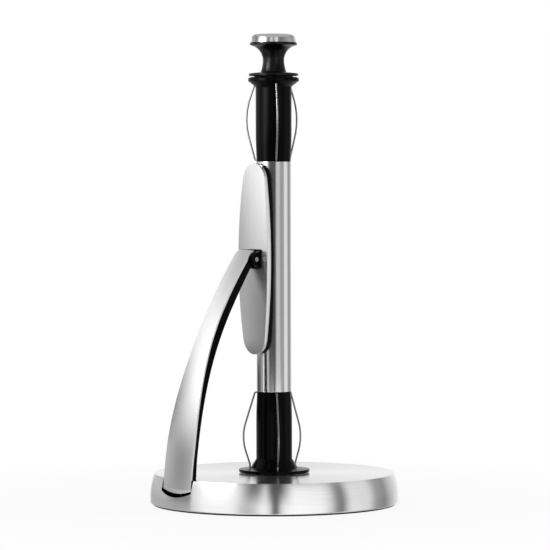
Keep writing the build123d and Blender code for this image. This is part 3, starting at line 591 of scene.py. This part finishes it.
chains = [edge for edge in inner if all(abs(spot.co.y) > 0.01 for spot in edge.verts)]
bmesh.ops.bridge_loops(shape, edges=chains)
for tip in [edge for edge in inner if edge not in chains]:
    if tip.is_boundary:
        beside = [rim for rim in inner if set(rim.verts) & set(tip.verts) and rim.is_boundary]
        bmesh.ops.contextual_create(shape, geom=beside)
rungs = [edge for edge in shape.edges if edge.verts[0].co.y * edge.verts[1].co.y < -0.01]
bmesh.ops.subdivide_edges(shape, edges=rungs, cuts=11)
back = bmesh.ops.extrude_edge_only(shape, edges=[edge for edge in shape.edges if edge.is_boundary])
rim_spots = new_spots(back)
for spot in shape.verts:
    _, y, z = spot.co
    short = max(edge_round - inset_of.get(spot, edge_round), 0.0)
    edge_fall = edge_round - math.sqrt(edge_round**2 - short**2)
    crown = crown_along - math.sqrt(crown_along**2 - z**2) + crown_across - math.sqrt(crown_across**2 - y**2)
    spot.co.x = crown + edge_fall - pad_front
for spot in rim_spots:
    spot.co.x = -pad_rim
for cut_y, cut_z in (
    (window_half_width, 0), (-window_half_width, 0), (0, window_half_height), (0, -window_half_height)
):
    bmesh.ops.bisect_plane(
        shape, geom=shape.verts[:] + shape.edges[:] + shape.faces[:], dist=0.0005,
        plane_co=(0, cut_y, cut_z), plane_no=(0, 1.0 if cut_y else 0.0, 1.0 if cut_z else 0.0),
    )
window = []
for face in shape.faces:
    _, y, z = face.calc_center_median()
    if abs(y) < window_half_width and abs(z) < window_half_height:
        window.append(face)
bmesh.ops.delete(shape, geom=window, context="FACES")
lay_lengthwise_lines(shape)
bmesh.ops.translate(shape, vec=(0, 0, pad_level), verts=shape.verts[:])
bmesh.ops.scale(shape, vec=(mm, mm, mm), verts=shape.verts[:])
bmesh.ops.recalc_face_normals(shape, faces=shape.faces[:])
if sum(face.normal.x * face.calc_area() for face in shape.faces) > 0:
    bmesh.ops.reverse_faces(shape, faces=shape.faces[:])
pad_face = piece("pad_cover", shape, strip_steel)
sheet_wall(pad_face, pad_sheet)
flat_shading(pad_face)
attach(pad_face, "pad")
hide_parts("pad_face")

# The table: a plain pale round top that the holder stands on, a hair below its rubber foot.
# It takes the soft shadow near the base and fades to white further out; the steel does not mirror it.
scene.view_settings.view_transform = "Standard"
table_radius, table_level = 1.3, -0.0001
table = bmesh.new()
bmesh.ops.create_circle(table, cap_ends=True, segments=96, radius=table_radius)
bmesh.ops.translate(table, vec=(0, 0, table_level), verts=table.verts[:])
table_top = bpy.data.materials.new("table_top")
table_top.use_nodes = True
tree = table_top.node_tree
shader = tree.nodes["Principled BSDF"]
shader.inputs["Base Color"].default_value = (0.8, 0.8, 0.8, 1.0)
shader.inputs["Roughness"].default_value = 0.7
shader.inputs["Specular IOR Level"].default_value = 0.2
white = tree.nodes.new("ShaderNodeEmission")
seen = tree.nodes.new("ShaderNodeLightPath")
place = tree.nodes.new("ShaderNodeTexCoord")
away = tree.nodes.new("ShaderNodeVectorMath")
away.operation = "LENGTH"
fade = tree.nodes.new("ShaderNodeMapRange")
fade.interpolation_type = "SMOOTHSTEP"
fade.inputs["From Min"].default_value = 0.10
fade.inputs["From Max"].default_value = 0.45
fade.inputs["To Min"].default_value = 0.86
share = tree.nodes.new("ShaderNodeMath")
share.operation = "MULTIPLY"
mixed = tree.nodes.new("ShaderNodeMixShader")
tree.links.new(place.outputs["Object"], away.inputs[0])
tree.links.new(away.outputs["Value"], fade.inputs["Value"])
tree.links.new(seen.outputs["Is Camera Ray"], share.inputs[0])
tree.links.new(fade.outputs["Result"], share.inputs[1])
tree.links.new(share.outputs["Value"], mixed.inputs["Fac"])
tree.links.new(shader.outputs["BSDF"], mixed.inputs[1])
tree.links.new(white.outputs["Emission"], mixed.inputs[2])
tree.links.new(mixed.outputs["Shader"], tree.nodes["Material Output"].inputs["Surface"])


def stand(name, shape, cloth):
    """Puts a thing of the studio in its place."""
    mesh = bpy.data.meshes.new(name)
    shape.to_mesh(mesh)
    shape.free()
    mesh.materials.append(cloth)
    thing = bpy.data.objects.new(name, mesh)
    scene.collection.objects.link(thing)
    return thing


table_object = stand("table", table, table_top)
table_object.visible_glossy = False

# The surround: a white studio with darker gaps between its walls, for the steel to mirror.
# One ramp gives its greys below the camera's eye, one those above, and the ceiling is an even grey.
# Directions are in degrees from the camera's own, and the camera itself sees plain white.
camera_way, ceiling = 90.0 + camera_turn, 0.48


def grey_ramp(tree, source, stops):
    """A ramp of greys, as (position, level), read from one value."""
    ramp = tree.nodes.new("ShaderNodeValToRGB")
    marks = ramp.color_ramp.elements
    while len(marks) < len(stops):
        marks.new(0.5)
    for mark, (position, level) in zip(marks, stops):
        mark.position = position
        mark.color = (level, level, level, 1.0)
    tree.links.new(source, ramp.inputs["Fac"])
    return ramp.outputs["Color"]


def way_round(tree, direction, start, end):
    """Nodes that read a direction's bearing from the camera, from start to end in radians, and its parts."""
    turn = tree.nodes.new("ShaderNodeMapping")
    turn.inputs["Rotation"].default_value[2] = math.radians(camera_way)
    ways = tree.nodes.new("ShaderNodeSeparateXYZ")
    bearing = tree.nodes.new("ShaderNodeMath")
    bearing.operation = "ARCTAN2"
    share = tree.nodes.new("ShaderNodeMapRange")
    share.inputs["From Min"].default_value = start
    share.inputs["From Max"].default_value = end
    tree.links.new(direction, turn.inputs["Vector"])
    tree.links.new(turn.outputs["Vector"], ways.inputs["Vector"])
    tree.links.new(ways.outputs["Y"], bearing.inputs[0])
    tree.links.new(ways.outputs["X"], bearing.inputs[1])
    tree.links.new(bearing.outputs["Value"], share.inputs["Value"])
    return share.outputs["Result"], ways


world = bpy.data.worlds.new("surround")
scene.world = world
world.use_nodes = True
tree = world.node_tree
surround = tree.nodes["Background"]
place = tree.nodes.new("ShaderNodeTexCoord")
round_way, ways = way_round(tree, place.outputs["Generated"], -math.pi, math.pi)
bands = []
for stops in (
    ((-180, 0.75), (-168, 0.62), (-136, 0.42), (-100, 0.55), (-84, 0.75), (-68, 1.1), (-44, 1.12), (-37, 1.0),
     (-31, 0.7), (-25, 0.6), (-18, 0.75), (-11, 1.15), (-6, 1.05), (-3, 0.7), (-1, 0.08), (3, 0.08), (5, 0.7),
     (8, 1.0), (13, 1.15), (21, 1.22), (46, 1.12), (54, 0.78), (60, 0.32), (66, 0.18), (71, 0.6), (76, 0.95),
     (98, 0.85), (109, 0.38), (124, 0.26), (136, 0.5), (152, 0.8), (168, 0.9)),
    ((-180, 0.92), (-125, 0.92), (-100, 0.75), (-84, 0.8), (-68, 1.12), (-44, 1.15), (-37, 1.05), (-31, 0.8),
     (-25, 0.65), (-18, 0.75), (-11, 1.1), (-6, 1.0), (-3, 0.65), (-1, 0.08), (3, 0.08), (5, 0.65), (8, 0.95),
     (13, 1.1), (21, 1.18), (46, 1.08), (54, 0.76), (60, 0.32), (66, 0.2), (71, 0.6), (76, 0.92), (98, 0.85),
     (109, 0.42), (124, 0.32), (136, 0.62), (160, 0.92)),
):
    bands.append(grey_ramp(tree, round_way, [(degrees / 360.0 + 0.5, level) for degrees, level in stops]))
bands.append(None)
level = bands[0]
for (low, high), upper in zip(((-0.06, 0.04), (0.3, 0.7)), bands[1:]):
    lift = tree.nodes.new("ShaderNodeMapRange")
    lift.interpolation_type = "SMOOTHSTEP"
    lift.inputs["From Min"].default_value = low
    lift.inputs["From Max"].default_value = high
    join = tree.nodes.new("ShaderNodeMix")
    join.data_type = "RGBA"
    tree.links.new(ways.outputs["Z"], lift.inputs["Value"])
    tree.links.new(lift.outputs["Result"], join.inputs["Factor"])
    tree.links.new(level, join.inputs["A"])
    if upper:
        tree.links.new(upper, join.inputs["B"])
    else:
        join.inputs["B"].default_value = (ceiling, ceiling, ceiling, 1.0)
    level = join.outputs["Result"]
tree.links.new(level, surround.inputs["Color"])
plain = tree.nodes.new("ShaderNodeBackground")
plain.inputs["Color"].default_value = (1.0, 1.0, 1.0, 1.0)
seen = tree.nodes.new("ShaderNodeLightPath")
mixed = tree.nodes.new("ShaderNodeMixShader")
tree.links.new(seen.outputs["Is Camera Ray"], mixed.inputs["Fac"])
tree.links.new(surround.outputs["Background"], mixed.inputs[1])
tree.links.new(plain.outputs["Background"], mixed.inputs[2])
tree.links.new(mixed.outputs["Shader"], tree.nodes["World Output"].inputs["Surface"])

# The screen: a tall curved cloth to the left of the arm, lit from its top, which the arm and pad mirror.
# It fades towards the table, and its levels by height run from one set to another along its curve.
# Only the reflections see it.
def upright_band(reach, start, swing, bottom, top, steps):
    """A band bent about the post, from start in degrees from the camera, and through a swing."""
    way = math.radians(start - camera_way)
    band = bmesh.new()
    first = band.verts.new((reach * math.cos(way), reach * math.sin(way), bottom))
    bmesh.ops.spin(
        band, geom=[first], axis=(0, 0, 1), cent=(0, 0, 0), angle=math.radians(swing), steps=steps
    )
    tall = bmesh.ops.extrude_edge_only(band, edges=band.edges[:])
    bmesh.ops.translate(band, vec=(0, 0, top - bottom), verts=new_spots(tall))
    return band


def for_reflections(thing):
    """Lets only the reflections see a thing of the studio."""
    thing.visible_camera = False
    thing.visible_diffuse = False
    thing.visible_shadow = False


screen_reach, screen_start, screen_swing, screen_bottom, screen_top = 0.65, -78.0, -76.0, -0.15, 0.9
lowest, highest = -100.0, 650.0
near_way, far_way = -99.0, -115.0
screen = upright_band(screen_reach, screen_start, screen_swing, screen_bottom, screen_top, 32)
screen_cloth = bpy.data.materials.new("screen_cloth")
screen_cloth.use_nodes = True
tree = screen_cloth.node_tree
tree.nodes.remove(tree.nodes["Principled BSDF"])
glow = tree.nodes.new("ShaderNodeEmission")
place = tree.nodes.new("ShaderNodeTexCoord")
ways = tree.nodes.new("ShaderNodeSeparateXYZ")
fade = tree.nodes.new("ShaderNodeMapRange")
fade.inputs["From Min"].default_value = lowest * mm
fade.inputs["From Max"].default_value = highest * mm
bearing = tree.nodes.new("ShaderNodeMath")
bearing.operation = "ARCTAN2"
sideways = tree.nodes.new("ShaderNodeMapRange")
sideways.inputs["From Min"].default_value = math.radians(360.0 - camera_way + near_way)
sideways.inputs["From Max"].default_value = math.radians(360.0 - camera_way + far_way)
both = tree.nodes.new("ShaderNodeMix")
both.data_type = "RGBA"
tree.links.new(place.outputs["Object"], ways.inputs["Vector"])
tree.links.new(ways.outputs["Z"], fade.inputs["Value"])
tree.links.new(ways.outputs["Y"], bearing.inputs[0])
tree.links.new(ways.outputs["X"], bearing.inputs[1])
tree.links.new(bearing.outputs["Value"], sideways.inputs["Value"])
tree.links.new(sideways.outputs["Result"], both.inputs["Factor"])
for side, stops in (
    ("A", ((-100, 0.5), (-30, 0.38), (40, 0.23), (70, 0.19), (110, 0.2), (130, 0.36), (150, 0.52),
           (170, 0.66), (190, 0.84), (213, 0.93), (248, 1.08), (293, 1.18), (340, 1.2), (430, 1.18),
           (530, 0.95), (640, 0.7))),
    ("B", ((-100, 0.5), (-30, 0.47), (30, 0.6), (50, 0.62), (62, 0.6), (75, 0.6), (105, 0.56), (135, 0.42),
           (160, 0.36), (190, 0.28), (220, 0.28), (248, 0.34), (263, 0.42), (278, 0.54), (293, 0.7),
           (310, 0.88), (430, 1.1), (530, 0.75), (640, 0.45))),
):
    shares = [((height - lowest) / (highest - lowest), level) for height, level in stops]
    tree.links.new(grey_ramp(tree, fade.outputs["Result"], shares), both.inputs[side])
tree.links.new(both.outputs["Result"], glow.inputs["Color"])
tree.links.new(glow.outputs["Emission"], tree.nodes["Material Output"].inputs["Surface"])
screen_object = stand("screen", screen, screen_cloth)
for_reflections(screen_object)

# Cards: curved sheets that hang round the holder, out of the camera's sight, with edges that fade away.
# Dark ones stand before the base, the tube and the cap, and bright ones light the black sleeve and neck.
# Heights are bottom, full, fading and top in metres; bearings are (degrees from the camera, solid, level).
for name, reach, heights, bearings in (
    ("card_base", 0.8, (0.02, 0.3, 0.6, 0.75),
     ((-30, 0, 0.2), (-21, 1, 0.17), (-15, 1, 0.2), (-8, 0.2, 0.2), (-3, 1, 0.09), (6, 1, 0.09),
      (17, 0, 0.2))),
    ("card_tube_left", 0.15, (0.066, 0.08, 0.27, 0.31),
     ((-52, 0, 0.7), (-46, 1, 0.7), (-38, 1, 0.62), (-32, 1, 0.12), (-24, 1, 0.05), (-7, 1, 0.05))),
    ("card_tube_right", 0.15, (0.066, 0.08, 0.27, 0.31),
     ((-9, 1, 0.05), (6, 1, 0.05), (12, 1, 0.2), (18, 1, 0.66), (36, 1, 0.62), (45, 1, 0.36), (53, 1, 0.33),
      (60, 0.7, 0.5), (67, 0, 0.7))),
    ("card_left", 0.15, (0.05, 0.06, 0.1, 0.11),
     ((-144, 0, 0.05), (-136, 1, 0.05), (-112, 1, 0.06), (-100, 1, 0.08), (-94, 0, 0.1))),
    ("card_cap", 0.5, (0.46, 0.52, 0.70, 0.78),
     ((-40, 0, 0.2), (-31, 0.9, 0.18), (-23, 0.9, 0.18), (-17, 0, 0.2), (20, 0, 0.14), (28, 1, 0.14),
      (50, 1, 0.17), (62, 1, 0.3), (95, 1, 0.36), (150, 1, 0.36), (165, 0, 0.4))),
    ("card_sleeve", 0.5, (0.2, 0.26, 0.44, 0.5),
     ((-76, 0, 5.5), (-62, 1, 5.5), (-46, 1, 5.5), (-34, 0, 5.5))),
    ("card_brim", 0.12, (0.37, 0.38, 0.425, 0.44),
     ((-178, 0, 0.35), (-166, 1, 0.35), (-112, 1, 0.36), (-98, 1, 0.2), (-88, 1, 0.24), (-78, 0, 0.5))),
    ("card_neck", 1.1, (0.5, 0.62, 0.9, 1.0),
     ((-82, 0, 15.0), (-68, 1, 15.0), (-54, 1, 15.0), (-42, 0, 15.0))),
):
    first_way, last_way = bearings[0][0], bearings[-1][0]
    swing = last_way - first_way
    bottom, top = heights[0], heights[-1]
    card = upright_band(reach, first_way, swing, bottom, top, 24)
    card_cloth = bpy.data.materials.new(name)
    card_cloth.use_nodes = True
    tree = card_cloth.node_tree
    tree.nodes.remove(tree.nodes["Principled BSDF"])
    place = tree.nodes.new("ShaderNodeTexCoord")
    along, ways = way_round(tree, place.outputs["Object"], math.radians(first_way), math.radians(last_way))
    upward = tree.nodes.new("ShaderNodeMapRange")
    upward.inputs["From Min"].default_value = bottom
    upward.inputs["From Max"].default_value = top
    tree.links.new(ways.outputs["Z"], upward.inputs["Value"])
    solid_along = grey_ramp(
        tree, along, [((degrees - first_way) / swing, solid) for degrees, solid, _ in bearings]
    )
    greys_along = grey_ramp(
        tree, along, [((degrees - first_way) / swing, level) for degrees, _, level in bearings]
    )
    solid_upward = grey_ramp(
        tree, upward.outputs["Result"],
        [((height - bottom) / (top - bottom), solid) for height, solid in zip(heights, (0, 1, 1, 0))],
    )
    share = tree.nodes.new("ShaderNodeMath")
    share.operation = "MULTIPLY"
    glow = tree.nodes.new("ShaderNodeEmission")
    clear = tree.nodes.new("ShaderNodeBsdfTransparent")
    mixed = tree.nodes.new("ShaderNodeMixShader")
    tree.links.new(solid_along, share.inputs[0])
    tree.links.new(solid_upward, share.inputs[1])
    tree.links.new(greys_along, glow.inputs["Color"])
    tree.links.new(share.outputs["Value"], mixed.inputs["Fac"])
    tree.links.new(clear.outputs["BSDF"], mixed.inputs[1])
    tree.links.new(glow.outputs["Emission"], mixed.inputs[2])
    tree.links.new(mixed.outputs["Shader"], tree.nodes["Material Output"].inputs["Surface"])
    card_object = stand(name, card, card_cloth)
    for_reflections(card_object)

# The lamps: two large soft boxes above the table, the stronger one on the arm's side.
# They light the table and the black pieces, and the steel does not mirror them.
aim = Vector((0, 0, 0.15))
for name, spot, size, power in (
    ("key_light", (-0.9, -1.0, 1.6), 1.2, 14.0),
    ("fill_light", (1.2, -0.6, 1.2), 1.2, 6.0),
):
    lamp_data = bpy.data.lights.new(name, "AREA")
    lamp_data.size = size
    lamp_data.energy = power
    lamp = bpy.data.objects.new(name, lamp_data)
    lamp.location = spot
    lamp.rotation_euler = (aim - Vector(spot)).to_track_quat("-Z", "Y").to_euler()
    lamp.visible_glossy = False
    lamp.visible_camera = False
    scene.collection.objects.link(lamp)
